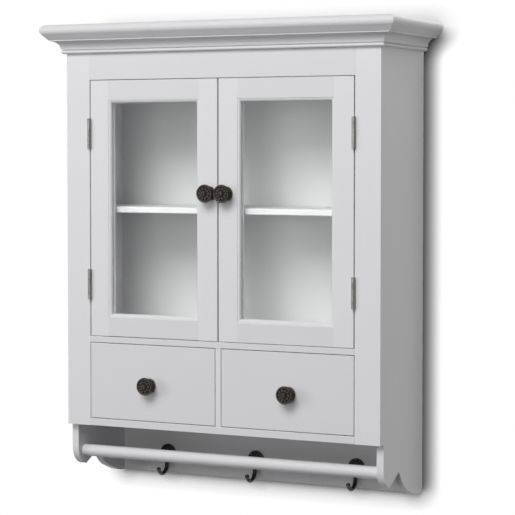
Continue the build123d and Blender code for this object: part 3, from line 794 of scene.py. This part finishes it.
class GeometryTree(NodeBench):
    """Lays out a Geometry Nodes tree with named inputs, and runs it."""

    def __init__(self, name: str) -> None:
        """Starts an empty tree.

        Args:
            name: The tree's name.
        """
        super().__init__(bpy.data.node_groups.new(name, "GeometryNodeTree"))
        self.identifiers: dict[str, str] = {}
        self.tree.interface.new_socket("Geometry", in_out="INPUT", socket_type="NodeSocketGeometry")
        self.tree.interface.new_socket("Geometry", in_out="OUTPUT", socket_type="NodeSocketGeometry")
        self.entry = self.node("NodeGroupInput")

    def size(self, name: str, kind: str = "Float") -> Value:
        """Declares a named input.

        Args:
            name: Its name.
            kind: Float, Int or Material.

        Returns:
            Its value in the tree.
        """
        socket = self.tree.interface.new_socket(name, in_out="INPUT", socket_type=f"NodeSocket{kind}")
        self.identifiers[name] = socket.identifier
        return Value(self, self.entry.outputs[name])

    def lifted(self, geometry: bpy.types.NodeSocket, level: Value) -> bpy.types.NodeSocket:
        """Geometry moved along the Z axis.

        Args:
            geometry: What is moved.
            level: How far it goes.

        Returns:
            The geometry in its new place.
        """
        lift = self.node("ShaderNodeCombineXYZ", {}, {2: level})
        given = {"Geometry": geometry, "Translation": lift.outputs[0]}
        return self.node("GeometryNodeTransform", {}, given).outputs[0]

    def close(self, geometry: bpy.types.NodeSocket, material: Value) -> None:
        """Ends the tree in plain, smooth, finished geometry.

        Args:
            geometry: What has been built.
            material: The material input.
        """
        smooth = self.node("GeometryNodeSetShadeSmooth", {}, {0: geometry})
        real = self.node("GeometryNodeRealizeInstances", {}, {0: smooth.outputs[0]})
        given = {"Geometry": real.outputs[0], "Material": material}
        dressed = self.node("GeometryNodeSetMaterial", {}, given)
        self.feed(self.node("NodeGroupOutput").inputs[0], dressed.outputs[0])

    def run(self, host: bpy.types.Object, sizes: dict[str, object]) -> bpy.types.Mesh:
        """Runs the tree on an object.

        Args:
            host: The object that the modifier goes on.
            sizes: What each named input takes.

        Returns:
            The plain mesh that comes out.
        """
        modifier = host.modifiers.new("tree", "NODES")
        modifier.node_group = self.tree
        for name, given in sizes.items():
            modifier[self.identifiers[name]] = given
        return evaluated(host)


class PetalTree(GeometryTree):
    """A ring of petals or beads round the Z axis."""

    def __init__(self) -> None:
        """Builds the tree."""
        super().__init__("petal_ring")
        count = self.size("Count", "Int")
        ring, level, length, width, height, taper, tilt = (
            self.size(name)
            for name in ("Ring radius", "Level", "Length", "Width", "Height", "Taper", "Tilt")
        )
        material = self.size("Material", "Material")
        ball = self.node("GeometryNodeMeshUVSphere", {}, {"Segments": 16, "Rings": 10, "Radius": 0.5})
        place = self.node("GeometryNodeInputPosition").outputs[0]
        spot = self.node("ShaderNodeSeparateXYZ", {}, {0: place})
        along, beside, above = (self.value(spot, i) for i in range(3))
        narrowed = beside * width * (1.0 - taper * along * 2.0)
        shape = self.node("ShaderNodeCombineXYZ", {}, {0: along * length, 1: narrowed, 2: above * height})
        given = {"Geometry": ball.outputs[0], "Position": shape.outputs[0]}
        petal = self.node("GeometryNodeSetPosition", {}, given)
        lean = self.node("ShaderNodeCombineXYZ", {}, {1: tilt})
        given = {"Geometry": petal.outputs[0], "Rotation": lean.outputs[0]}
        leaned = self.node("GeometryNodeTransform", {}, given)
        circle = self.node("GeometryNodeMeshCircle", {}, {"Vertices": count, "Radius": ring})
        outwards = self.node(
            "FunctionNodeAlignRotationToVector", {"axis": "X", "pivot_axis": "Z"}, {"Vector": place})
        petals = self.node("GeometryNodeInstanceOnPoints", {}, {
            "Points": circle.outputs[0], "Instance": leaned.outputs[0], "Rotation": outwards.outputs[0],
        })
        self.close(self.lifted(petals.outputs[0], level), material)


class ScrewTree(GeometryTree):
    """Cross-head screws, one for each of the host's points, along the point's own direction."""

    sides: ClassVar[int] = 32
    core_sides: ClassVar[int] = 20
    pan_foot: ClassVar[float] = 0.97        # foot of a pan head, as a share of its radius
    pan_crown: ClassVar[float] = 0.82       # crown of a pan head
    slot_width: ClassVar[float] = 0.26      # the cross in the head, as shares of its radius
    slot_length: ClassVar[float] = 1.15
    slot_depth: ClassVar[float] = 0.9       # as a share of the head's depth
    core: ClassVar[float] = 0.78            # the core, the point and the thread, as shares of
    tip: ClassVar[float] = 0.12             # the shank's radius
    tip_length: ClassVar[float] = 1.6
    thread_middle: ClassVar[float] = 0.8
    thread_radius: ClassVar[float] = 0.22

    def __init__(self, form: HeadForm) -> None:
        """Builds the tree.

        Args:
            form: How the heads sit.
        """
        super().__init__(f"{form.value}_screws")
        head, shank, depth, length, pitch = (
            self.size(name) for name in ("Head radius", "Shank radius", "Head depth", "Length", "Pitch")
        )
        material = self.size("Material", "Material")
        point_length = shank * self.tip_length
        body_length = length - depth - point_length
        sunk = form is HeadForm.SUNK
        cone = self._cone(
            self.sides, shank if sunk else head * self.pan_foot,
            head if sunk else head * self.pan_crown, depth,
        )
        driven = self.node("GeometryNodeMeshBoolean", {"operation": "DIFFERENCE"}, {"Mesh 1": cone})
        wide, long = head * self.slot_width, head * self.slot_length
        for size in ((wide, long), (long, wide)):
            self.feed(driven.inputs["Mesh 2"], self._bar(*size, depth * self.slot_depth))
        core = self.node("GeometryNodeMeshCylinder", {}, {
            "Vertices": self.core_sides, "Radius": shank * self.core, "Depth": body_length,
        })
        point = self._cone(self.core_sides, shank * self.tip, shank * self.core, point_length)
        helix = self.node("GeometryNodeCurveSpiral", {}, {
            "Resolution": 16, "Rotations": body_length / pitch, "Height": body_length,
            "Start Radius": shank * self.thread_middle, "End Radius": shank * self.thread_middle,
        })
        rib = self.node("GeometryNodeCurvePrimitiveCircle", {}, {
            "Resolution": 3, "Radius": shank * self.thread_radius,
        })
        thread = self.node("GeometryNodeCurveToMesh", {}, {
            "Curve": helix.outputs[0], "Profile Curve": rib.outputs[0], "Fill Caps": True,
        })
        screw = self.node("GeometryNodeJoinGeometry")
        for part in (
            driven.outputs[0],
            self.lifted(core.outputs[0], depth + body_length * 0.5),
            self.lifted(point, length - point_length),
            self.lifted(thread.outputs[0], depth),
        ):
            self.feed(screw.inputs[0], part)
        way = self.node("GeometryNodeInputNamedAttribute", {"data_type": "FLOAT_VECTOR"}, {"Name": "way"})
        turned = self.node("FunctionNodeAlignRotationToVector", {"axis": "Z"}, {"Vector": way.outputs[0]})
        screws = self.node("GeometryNodeInstanceOnPoints", {}, {
            "Points": self.entry.outputs[0], "Instance": screw.outputs[0], "Rotation": turned.outputs[0],
        })
        self.close(screws.outputs[0], material)

    def _cone(self, sides: int, top: Value, foot: Value, depth: Value) -> bpy.types.NodeSocket:
        """A blunt cone that stands on the XY plane."""
        given = {"Vertices": sides, "Radius Top": top, "Radius Bottom": foot, "Depth": depth}
        return self.node("GeometryNodeMeshCone", {}, given).outputs[0]

    def _bar(self, wide: Value, long: Value, deep: Value) -> bpy.types.NodeSocket:
        """A block that cuts one slot of the cross into the head."""
        size = self.node("ShaderNodeCombineXYZ", {}, {0: wide, 1: long, 2: deep})
        return self.node("GeometryNodeMeshCube", {}, {"Size": size.outputs[0]}).outputs[0]


@dataclass(frozen=True)
class Petals:
    """One ring of petals or beads on a casting, in millimetres."""

    count: int
    ring: float
    level: float
    length: float
    width: float
    height: float
    taper: float = 0.0
    tilt_deg: float = 0.0

    def mesh(self, tree: PetalTree, finish: Finish) -> bpy.types.Mesh:
        """Grows the ring.

        Args:
            tree: The petal tree.
            finish: What the casting is finished in.

        Returns:
            The ring's mesh.
        """
        return tree.run(placed("ring", bpy.data.meshes.new("ring")), {
            "Count": self.count, "Ring radius": self.ring, "Level": self.level, "Length": self.length,
            "Width": self.width, "Height": self.height, "Taper": self.taper,
            "Tilt": radians(self.tilt_deg), "Material": finish.material(),
        })


# ------------------------------------------------------------------ pieces
class SubAssembly:
    """A group of pieces that belong together. Each kind makes and dresses its own."""

    def dress(self, finish: Finish, *names: str) -> None:
        """Lays a finish on CAD nodes.

        Args:
            finish: The finish.
            names: The nodes.
        """
        for name in names:
            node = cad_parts[name]
            if not node.material_slots:
                node.data.materials.append(finish.material())
            for slot in node.material_slots:
                slot.material = finish.material()
            LOG.info("%s is dressed in %s", name, finish.label)

    def keep(self, piece: bpy.types.Object, body: Body, slot: Slot, *replaced: str) -> None:
        """Hands a finished piece to its body.

        Args:
            piece: The piece.
            body: The body that it moves with.
            slot: The record's slot. Not used.
            replaced: The CAD nodes that it stands for.
        """
        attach(piece, body.value)
        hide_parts(*replaced)
        LOG.info("%s rides on %s, with %d faces", piece.name, body.value, len(piece.data.polygons))


@dataclass
class Carcass(SubAssembly):
    """The boards of the cabinet, its face frame and its cornice."""

    upright: tuple[str, ...] = (
        "left_side_panel", "right_side_panel", "left_face_stile", "right_face_stile", "face_mullion",
    )
    level: tuple[str, ...] = (
        "top_panel", "cupboard_deck", "bottom_panel", "shelf", "top_face_rail", "middle_face_rail",
        "bottom_face_rail", "cornice_front", "cornice_cap", "hanging_rail", "back_apron", "towel_rail",
    )
    running_back: tuple[str, ...] = ("cornice_returns", "drawer_divider", "drawer_guides")
    bare_skin: float = 0.4 * MM

    def make(self) -> None:
        """Dresses the boards by the way their grain runs."""
        self.dress(SatinPaint(Way.UP), *self.upright)
        self.dress(SatinPaint(Way.ACROSS), *self.level)
        self.dress(SatinPaint(Way.DEEP), *self.running_back)
        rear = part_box("back_panel")[1].y - self.bare_skin
        self.dress(FacedHardboard(Way.DEEP, rear, False), "back_panel")
        self.dress(ZINC_STEEL, "shelf_pegs", "hanger_plates")
        self.dress(CATCH_PLASTIC, "catch_housings")
        self.dress(FERRITE, "catch_magnets")


@dataclass
class Screws(SubAssembly):
    """The screws of one CAD node, built with cross heads and threads where the node has plain ones."""

    node: str
    body: Body
    forms: dict[HeadForm, ScrewTree]
    pan_along: Way | None = None
    pitch: float = 1.1 * MM
    sunk: float = 0.02 * MM
    pan_rise: float = 0.5

    def make(self) -> None:
        """Builds every screw on this node where the CAD has it."""
        groups: dict[tuple, list[tuple[Vector, Vector]]] = {}
        for points in islands(self.node):
            key, seat = self._measured(points)
            groups.setdefault(key, []).append(seat)
        mesh = joined([self._row(key, seats) for key, seats in groups.items()])
        self.keep(shown(f"{self.node}_cut", mesh, ZINC_STEEL), self.body, Slot.ZINC, self.node)

    def _measured(self, points: Sequence[Vector]) -> tuple[tuple, tuple[Vector, Vector]]:
        """Reads one screw's sizes and its seat off its points.

        Args:
            points: The points of its solid.

        Returns:
            Its form, head radius, shank radius and length, then where its head is and the way it points.
        """
        lows, highs = ([pick(p[i] for p in points) for i in range(3)] for pick in (min, max))
        spread = [high - low for low, high in zip(lows, highs)]
        along = spread.index(max(spread))
        radius = sorted(spread)[1] / 2
        middle = Vector([(low + high) / 2 for low, high in zip(lows, highs)])
        offs = []
        for point in points:
            gap = point - middle
            gap[along] = 0
            offs.append((gap.length, point[along]))
        rim = [level for off, level in offs if off > 0.9 * radius]
        shank = min(off for off, _ in offs if off > 0.1 * radius)
        head_is_low = sum(rim) / len(rim) < middle[along]
        way = Vector((0, 0, 0))
        way[along] = 1 if head_is_low else -1
        head = middle.copy()
        head[along] = (lows if head_is_low else highs)[along]
        form = HeadForm.PAN if self.pan_along and along == self.pan_along.value else HeadForm.SUNK
        key = (form, round(radius, 6), round(shank, 6), round(spread[along], 6))
        return key, (head + way * self.sunk, way)

    def _row(self, key: tuple, seats: Sequence[tuple[Vector, Vector]]) -> bpy.types.Mesh:
        """Screws of one size.

        Args:
            key: Their form, head radius, shank radius and length.
            seats: Where each head is, and the way it points.

        Returns:
            Their mesh.
        """
        form, radius, shank, length = key
        points = bpy.data.meshes.new("seats")
        points.from_pydata([head for head, _ in seats], [], [])
        ways = points.attributes.new("way", "FLOAT_VECTOR", "POINT")
        ways.data.foreach_set("vector", [part for _, way in seats for part in way])
        depth = radius - shank if form is HeadForm.SUNK else radius * self.pan_rise
        return self.forms[form].run(placed("seats", points), {
            "Head radius": radius, "Shank radius": shank, "Head depth": depth,
            "Length": length - self.sunk, "Pitch": self.pitch, "Material": ZINC_STEEL.material(),
        })


@dataclass
class Knobs(SubAssembly):
    """The cast knobs: a beaded rose, a waisted neck and a wide head with a flower round its boss."""

    outline: tuple[tuple[float, float], ...] = (
        (0, 0), (11.2, 0), (11.9, 0.5), (12.0, 1.3), (11.6, 2.0), (10.4, 2.3), (9.2, 2.9), (8.2, 3.9),
        (6.4, 4.6), (5.5, 5.8), (5.2, 7.2), (5.5, 8.8), (6.6, 10.6), (8.8, 12.8), (11.6, 14.8),
        (13.8, 15.9), (14.8, 16.7), (15.0, 17.6), (14.9, 18.5), (14.4, 19.6), (13.6, 20.5), (12.8, 20.9),
        (12.0, 20.7), (11.2, 20.0), (10.4, 19.6), (9.0, 19.7), (6.6, 20.3), (5.2, 21.2), (4.9, 22.4),
        (4.4, 23.4), (3.2, 24.3), (1.6, 24.8), (0, 25.0),
    )
    rings: tuple[Petals, ...] = (
        Petals(18, 10.6, 2.2, 2.7, 2.7, 2.5),
        Petals(10, 8.3, 20.3, 4.9, 3.5, 2.7, 0.25, 4.0),
        Petals(24, 13.0, 20.5, 1.5, 1.3, 1.2),
        Petals(6, 2.5, 24.1, 2.9, 2.0, 1.5, -0.25, 24.0),
        Petals(1, 0.0, 24.7, 1.9, 1.9, 1.5),
    )
    steps: int = 72
    grain: float = 0.26

    def make(self, petals: PetalTree) -> None:
        """Casts one knob and sets a copy on each door and drawer.

        Args:
            petals: The petal tree.
        """
        finish = AgedBronze()
        shells = [lathe(self.outline, self.steps), *(ring.mesh(petals, finish) for ring in self.rings)]
        pattern = poured(shells, self.grain)
        for side in Side:
            for kind in ("door", "drawer"):
                node = f"{side.value}_{kind}_knob"
                low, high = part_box(node)
                seat = Vector(((low.x + high.x) / 2, high.y, (low.z + high.z) / 2))
                mesh = pattern.copy()
                mesh.transform(Matrix.Translation(seat) @ FORWARD @ Matrix.Scale(MM, 4))
                piece = shown(f"{node}_cast", mesh, finish)
                self.keep(piece, Body(f"{side.value}_{kind}"), Slot.BRONZE, node)
        bpy.data.meshes.remove(pattern)


@dataclass
class Hooks(SubAssembly):
    """Three cast hooks: a petalled rose on the apron and a rod that curls up to a ball."""

    rose: tuple[tuple[float, float], ...] = (
        (0, 0), (15.4, 0), (16.0, 0.5), (16.0, 1.3), (15.0, 1.9), (13.4, 2.3), (11.4, 3.0), (9.1, 4.1),
        (7.0, 4.8), (4.5, 5.3), (2.2, 5.45), (0, 5.5),
    )
    rings: tuple[Petals, ...] = (
        Petals(11, 13.0, 1.3, 4.4, 3.9, 3.0, -0.2),
        Petals(9, 8.6, 3.4, 3.9, 2.9, 2.2, -0.3, 24.0),
    )
    columns: tuple[float, ...] = (-188.0, -14.0, 176.0)
    rose_radius: float = 17.0
    leg_out: float = 6.5
    neck_bend: float = 4.5
    bowl_radius: float = 15.5
    rod_radius: float = 3.4
    waist_radius: float = 3.2
    tip_radius: float = 4.1
    tip_deg: float = 24.0
    rod_start: float = 1.0
    rose_steps: int = 64
    steps: int = 24
    ball_steps: int = 16
    neck_steps: int = 8
    leg_steps: int = 10
    grain: float = 0.36

    def make(self, petals: PetalTree) -> None:
        """Casts one hook and sets three on the apron.

        Args:
            petals: The petal tree.
        """
        low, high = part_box("hooks")
        finish = AgedBronze()
        shells = [lathe(self.rose, self.rose_steps), *(ring.mesh(petals, finish) for ring in self.rings)]
        for shell in shells:
            shell.transform(FORWARD)
        bowl_level = (low.z - high.z) / MM + self.rose_radius + self.rod_radius + self.bowl_radius
        path, radii = self._line(bowl_level)
        shells += [swept(path, radii, self.steps), self._ball(path[-1])]
        pattern = poured(shells, self.grain)
        hooks = []
        for column in self.columns:
            seat = Vector((column * MM, high.y, high.z - self.rose_radius * MM))
            hook = pattern.copy()
            hook.transform(Matrix.Translation(seat) @ Matrix.Scale(MM, 4))
            hooks.append(hook)
        bpy.data.meshes.remove(pattern)
        self.keep(shown("hooks_cast", joined(hooks), finish), Body.CABINET, Slot.BRONZE, "hooks")

    def _ball(self, middle: Vector) -> bpy.types.Mesh:
        """The ball on the hook's end.

        Args:
            middle: Where it is.

        Returns:
            Its mesh.
        """
        turns = [pi * i / self.ball_steps for i in range(1, self.ball_steps)]
        outline = [(self.tip_radius * sin(turn), -self.tip_radius * cos(turn)) for turn in turns]
        ball = lathe([(0, outline[0][1]), *outline, (0, outline[-1][1])], self.steps)
        ball.transform(Matrix.Translation(middle))
        return ball

    def _line(self, bowl_level: float) -> tuple[list[Vector], list[float]]:
        """The rod's middle line and its radii, from the rose to the ball.

        Args:
            bowl_level: Height of the bowl's middle, from the rose's.

        Returns:
            Points in the YZ plane and a radius for each.
        """
        bend, bowl = self.neck_bend, self.bowl_radius
        line = [Vector((0, -self.rod_start, 0)), Vector((0, -self.leg_out + bend, 0))]
        for i in range(1, self.neck_steps + 1):
            turn = i / self.neck_steps * pi / 2
            line.append(Vector((0, -self.leg_out + bend * (1 - sin(turn)), -bend * (1 - cos(turn)))))
        top = line[-1].z
        for i in range(1, self.leg_steps + 1):
            line.append(Vector((0, -self.leg_out, top + (bowl_level - top) * i / self.leg_steps)))
        sweep = pi - radians(self.tip_deg)
        for i in range(1, self.steps + 1):
            turn = -i / self.steps * sweep
            line.append(Vector((0, -self.leg_out - bowl * (1 - cos(turn)), bowl_level + bowl * sin(turn))))
        count = len(line) - 1
        radii = [
            self.waist_radius + (self.rod_radius - self.waist_radius) * (1 - abs(2 * i / count - 1))
            for i in range(count + 1)
        ]
        return line, radii


@dataclass
class GlazedDoor(SubAssembly):
    """A door: its four members, its pane, its beads and its hinge leaves."""

    side: Side

    def make(self) -> None:
        """Dresses the door by the way each member's grain runs."""
        start = f"{self.side.value}_door"
        self.dress(SatinPaint(Way.UP), f"{start}_hinge_stile", f"{start}_meeting_stile")
        level = (f"{start}_top_rail", f"{start}_bottom_rail", f"{start}_glazing_beads")
        self.dress(SatinPaint(Way.ACROSS), *level)
        self.dress(FloatGlass(), f"{start}_glass")
        self.dress(HINGE_STEEL, f"{start}_hinge_leaves")
        self.dress(ZINC_STEEL, f"{start}_strike_plate")


@dataclass
class Drawer(SubAssembly):
    """A drawer: its front, its box and its hardboard bottom."""

    side: Side
    bare_skin: float = 0.4 * MM

    def make(self) -> None:
        """Dresses the drawer."""
        start = f"{self.side.value}_drawer"
        self.dress(SatinPaint(Way.ACROSS), f"{start}_front")
        self.dress(SatinPaint(Way.DEEP), f"{start}_box")
        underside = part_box(f"{start}_bottom")[0].z + self.bare_skin
        self.dress(FacedHardboard(Way.UP, underside, True), f"{start}_bottom")


@dataclass
class Hinges(SubAssembly):
    """What the butt hinges leave on the cabinet: the fixed leaves and the pins."""

    def make(self) -> None:
        """Dresses the leaves and the pins."""
        self.dress(HINGE_STEEL, "frame_hinge_leaves", "hinge_pins")


# ------------------------------------------------------------------ studio
@dataclass(frozen=True)
class Lamp:
    """A soft box that looks at a point."""

    name: str
    place: Point
    power: float
    width: float
    height: float
    aim: Point = (0.0, -0.1, -0.3)

    def hang(self) -> None:
        """Puts the lamp into the scene."""
        data = bpy.data.lights.new(self.name, "AREA")
        data.shape = "RECTANGLE"
        data.size = self.width
        data.size_y = self.height
        data.energy = self.power
        lamp = placed(self.name, data)
        lamp.visible_camera = False
        lamp.visible_transmission = False
        lamp.location = self.place
        gaze = Vector(self.aim) - Vector(self.place)
        lamp.rotation_euler = gaze.to_track_quat("-Z", "Y").to_euler()


@dataclass
class Studio:
    """The camera, the lamps, the pale floor and the white wall that the cabinet hangs on."""

    camera_place: Point = (1.4420, -2.9908, -0.1220)
    camera_turn_deg: float = 26.013
    camera_dip_deg: float = 2.476
    lens: float = 133.8
    lens_shift: float = -0.05
    sight: float = 60.0
    wall_gap: float = 0.4 * MM
    floor_level: float = -1.9
    # The painted shadow on the wall's glow: its reach, its samples, its depth below and above the top, and
    # where it fades.
    shadow_reach: float = 0.035
    shadow_samples: int = 16
    shadow_depth: float = 3.6
    shadow_least: float = 0.6
    shadow_top: float = 0.082
    shadow_fade: float = 0.022
    reach: float = 9.0
    ground_tint: Colour = (0.86, 0.86, 0.85)
    air_light: float = 0.03
    air_seen: float = 0.80
    lamps: tuple[Lamp, ...] = (
        Lamp("key_lamp", (0.00, -3.90, 2.70), 150.0, 2.8, 2.4),
        Lamp("left_lamp", (-2.60, -2.60, 0.10), 24.0, 1.6, 1.6),
        Lamp("fill_lamp", (0.45, -3.60, -0.10), 22.0, 1.4, 1.4),
        Lamp("side_lamp", (1.50, 0.90, -0.30), 6.2, 0.4, 1.8),
        Lamp("back_lamp", (0.60, 2.80, 1.20), 60.0, 1.8, 1.8),
    )

    def set_camera(self) -> None:
        """Sets up the camera."""
        data = bpy.data.cameras.new("camera")
        data.lens = self.lens
        data.shift_y = self.lens_shift
        data.clip_end = self.sight
        camera = placed("camera", data)
        camera.location = self.camera_place
        camera.rotation_euler = (radians(90 - self.camera_dip_deg), 0, radians(self.camera_turn_deg))
        bpy.context.scene.camera = camera

    def light(self) -> None:
        """Hangs the lamps and sets a sky that looks brighter than it shines."""
        for lamp in self.lamps:
            lamp.hang()
        world = bpy.data.worlds.new("studio_air")
        world.use_nodes = True
        bench = NodeBench(world.node_tree)
        seen = bench.node("ShaderNodeLightPath").outputs["Is Camera Ray"]
        strength = bench.node("ShaderNodeMapRange", {}, {
            "Value": seen, "To Min": self.air_light, "To Max": self.air_seen,
        })
        sky = world.node_tree.nodes["Background"]
        bench.feed(sky.inputs["Color"], (1.0, 1.0, 1.0, 1.0))
        bench.feed(sky.inputs["Strength"], strength.outputs["Result"])
        bpy.context.scene.world = world
        bpy.context.scene.view_settings.view_transform = "Standard"

    def build(self) -> None:
        """Lays the floor and puts up the wall, each there only when seen from its front. The wall glows
        white, and a painted shadow darkens it close to the cabinet, more strongly below its top.
        """
        floor = self._sheet("floor", Matrix.Translation((0, 0, self.floor_level)))
        floor.visible_diffuse = False
        ground = FinishBench(floor.data.materials[0])
        matt = ground.surface({"Base Color": (*self.ground_tint, 1.0), "Roughness": 0.9})
        self._one_sided(ground, matt)
        wall = self._sheet("wall", Matrix.Translation((0, self.wall_gap, 0)) @ FORWARD)
        wall.visible_shadow = False
        wall.visible_diffuse = False
        bench = FinishBench(wall.data.materials[0])
        # Painted shadow: the wall's glow is darkened wherever the cabinet is close.
        closeness = bench.node(
            "ShaderNodeAmbientOcclusion", {"samples": self.shadow_samples}, {"Distance": self.shadow_reach})
        near = bench.value(closeness, "AO")
        under = ((self.shadow_top - bench.axis(Way.UP)) * (1.0 / self.shadow_fade)).held()
        depth = under * (self.shadow_depth - self.shadow_least) + self.shadow_least
        # The wall glows though it is no lamp, and the painted shadow is carried in its strength.
        white = bench.node("ShaderNodeEmission", {}, {"Strength": near ** depth})
        self._one_sided(bench, white)

    def _one_sided(self, bench: FinishBench, shader: bpy.types.Node) -> None:
        """Makes a sheet of the studio clear to anyone behind it.

        Args:
            bench: The bench of its material.
            shader: What its front shows.
        """
        behind = bench.node("ShaderNodeNewGeometry").outputs["Backfacing"]
        clear = bench.node("ShaderNodeBsdfTransparent")
        both = bench.node("ShaderNodeMixShader", {}, {0: behind, 1: shader.outputs[0], 2: clear.outputs[0]})
        bench.feed(bench.output.inputs["Surface"], both.outputs[0])

    def _sheet(self, name: str, place: Matrix) -> bpy.types.Object:
        """A flat piece of the studio, with an empty material.

        Args:
            name: Its name.
            place: Where it lies.

        Returns:
            The object.
        """
        mesh = bpy.data.meshes.new(name)
        far = self.reach
        mesh.from_pydata([(-far, -far, 0), (far, -far, 0), (far, far, 0), (-far, far, 0)], [], [range(4)])
        mesh.transform(place)
        material = bpy.data.materials.new(f"studio_{name}")
        material.use_nodes = True
        mesh.materials.append(material)
        made = placed(name, mesh)
        return made


def main() -> None:
    """Builds the studio and every sub-assembly in order."""
    logging.basicConfig(level=logging.INFO, format="%(name)s: %(message)s")
    studio = Studio()
    studio.set_camera()
    studio.light()
    studio.build()
    petals = PetalTree()
    forms = {form: ScrewTree(form) for form in HeadForm}
    Carcass().make()
    Hinges().make()
    for side in Side:
        GlazedDoor(side).make()
        Drawer(side).make()
    Knobs().make(petals)
    Hooks().make(petals)
    Screws("frame_hinge_screws", Body.CABINET, forms).make()
    Screws("fitting_screws", Body.CABINET, forms).make()
    for side in Side:
        for kind, node in (("door", "door_screws"), ("drawer", "drawer_knob_screw")):
            body = Body(f"{side.value}_{kind}")
            Screws(f"{side.value}_{node}", body, forms, pan_along=Way.DEEP).make()


if __name__ == "__main__":
    main()
